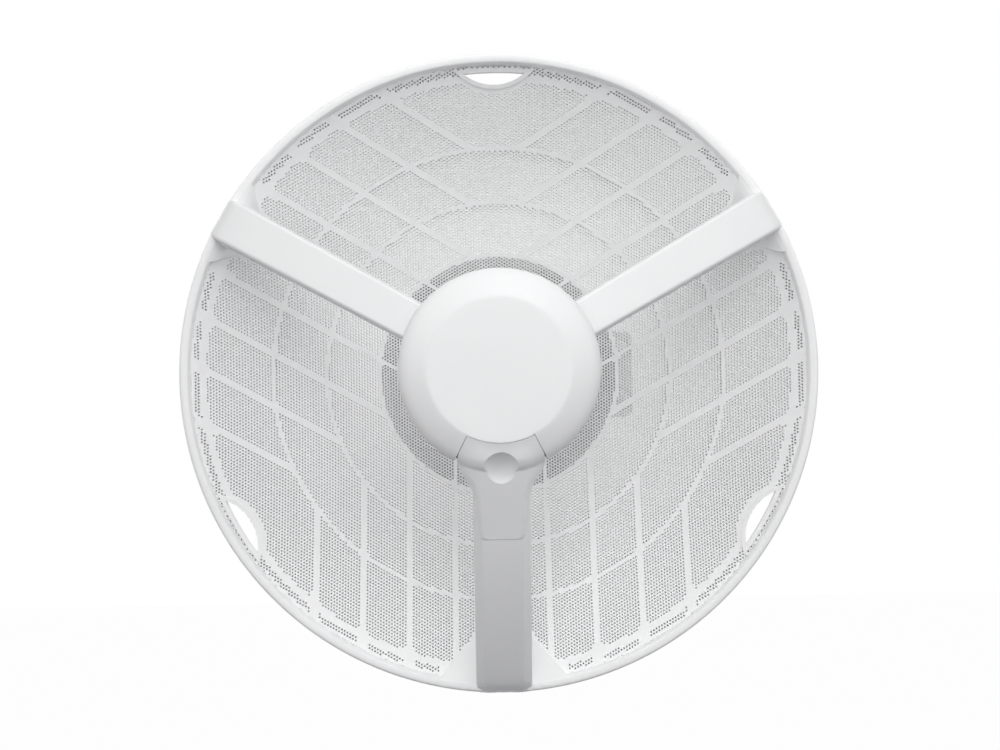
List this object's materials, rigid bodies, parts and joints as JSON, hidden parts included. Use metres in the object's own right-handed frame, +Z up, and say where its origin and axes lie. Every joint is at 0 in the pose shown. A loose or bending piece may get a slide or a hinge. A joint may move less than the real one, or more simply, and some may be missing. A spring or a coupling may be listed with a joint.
{
  "type": "microwave dish antenna",
  "caption": "Round perforated dish antenna with a radio pod held at the focus by three arms, on a two-axis adjustable pole clamp.",
  "frame": {"origin": "on the axis of the pole, at mid-height of the pole clamp", "axes": "+Z up along the pole, -Y along the beam (the front), +X to the right of someone facing the front of the dish"},
  "size_m": [0.413, 0.3137, 0.4134],
  "materials": {
    "reflector_white": "painted, slightly textured off-white",
    "shell_white": "satin UV-stable off-white moulding",
    "cast_grey": "die-cast, powder-coated light grey",
    "zinc_steel": "zinc-plated or stainless fasteners",
    "black_nylon": "black glass-filled nylon",
    "brass": "turned brass",
    "black_rubber": "moulded rubber",
    "raw_aluminium": "machined or pressed aluminium",
    "board_green": "solder-masked glass epoxy",
    "ceramic_patch": "ceramic with a silvered face",
    "radome_white": "thin satin radome plastic"
  },
  "bodies": {
    "pole_bracket": {"pole_bracket": "cast_grey", "azimuth_bushes": "brass", "clamp_bolts": "zinc_steel", "ground_screw": "brass"},
    "clamp_jaw": {"clamp_jaw": "cast_grey", "clamp_washers": "zinc_steel", "clamp_nuts": "zinc_steel"},
    "azimuth_adjuster": {"azimuth_screw": "zinc_steel", "azimuth_knob": "black_nylon"},
    "azimuth_yoke": {"azimuth_yoke": "cast_grey", "azimuth_pivot_bolt": "zinc_steel", "azimuth_pivot_nut": "zinc_steel", "azimuth_washers": "zinc_steel", "elevation_pivot_bolts": "zinc_steel", "elevation_pivot_nuts": "zinc_steel", "elevation_lock_bolts": "zinc_steel", "elevation_lock_nuts": "zinc_steel"},
    "azimuth_barrel": {"azimuth_barrel": "brass"},
    "elevation_adjuster": {"elevation_screw": "zinc_steel", "elevation_knob": "black_nylon"},
    "elevation_barrel": {"elevation_barrel": "brass"},
    "port_cover": {"port_cover": "shell_white"},
    "dish": {"tilt_bracket": "cast_grey", "tilt_bracket_screws": "zinc_steel", "back_plate": "cast_grey", "back_plate_screws": "zinc_steel", "reflector": "reflector_white", "left_arm": "shell_white", "right_arm": "shell_white", "cable_arm": "shell_white", "arm_foot_screws": "zinc_steel", "arm_root_screws": "zinc_steel", "cable_clips": "shell_white", "pod_rear_housing": "shell_white", "pod_front_cover": "shell_white", "pod_gasket": "black_rubber", "pod_screws": "zinc_steel", "vent_plug": "black_nylon", "heat_spreader": "raw_aluminium", "circuit_board": "board_green", "shield_can": "raw_aluminium", "gps_patch": "ceramic_patch", "board_screws": "zinc_steel", "feed_horn": "raw_aluminium", "feed_radome": "radome_white", "data_jack": "raw_aluminium", "jack_seal": "black_rubber"}
  },
  "joints": [
    {"name": "azimuth", "type": "hinge", "parent": "pole_bracket", "child": "azimuth_yoke", "pos_m": [-0.058, -0.021, 0], "axis": [0, 0, 1], "range_deg": [-15, 15]},
    {"name": "elevation", "type": "hinge", "parent": "azimuth_yoke", "child": "dish", "pos_m": [-0.058, -0.062, 0], "axis": [-1, 0, 0], "range_deg": [-15, 15]},
    {"name": "azimuth_barrel_turn", "type": "hinge", "parent": "azimuth_yoke", "child": "azimuth_barrel", "pos_m": [-0.104, -0.021, 0], "axis": [0, 0, 1], "range_deg": [-16, 16]},
    {"name": "elevation_barrel_turn", "type": "hinge", "parent": "dish", "child": "elevation_barrel", "pos_m": [-0.058, -0.062, -0.046], "axis": [-1, 0, 0], "range_deg": [-16, 16]},
    {"name": "azimuth_screw_turn", "type": "hinge", "parent": "pole_bracket", "child": "azimuth_adjuster", "pos_m": [-0.10322, 0.004, 0], "axis": [0, 1, 0], "range_deg": [-4340.4, 4340.4]},
    {"name": "elevation_screw_turn", "type": "hinge", "parent": "azimuth_yoke", "child": "elevation_adjuster", "pos_m": [-0.058, -0.035, -0.04522], "axis": [0, 1, 0], "range_deg": [-4340.4, 4340.4]},
    {"name": "clamp_jaw_slide", "type": "slide", "parent": "pole_bracket", "child": "clamp_jaw", "axis": [0, 1, 0], "range_m": [0, 0.012]},
    {"name": "port_cover_release", "type": "slide", "parent": "dish", "child": "port_cover", "axis": [0, -1, 0], "range_m": [0, 0.012]}
  ],
  "couplings": [
    {"joint": "azimuth_barrel_turn", "follows": "azimuth", "ratio": -1},
    {"joint": "elevation_barrel_turn", "follows": "elevation", "ratio": -1},
    {"joint": "azimuth_screw_turn", "follows": "azimuth", "ratio": 289.03},
    {"joint": "elevation_screw_turn", "follows": "elevation", "ratio": 289.03}
  ]
}
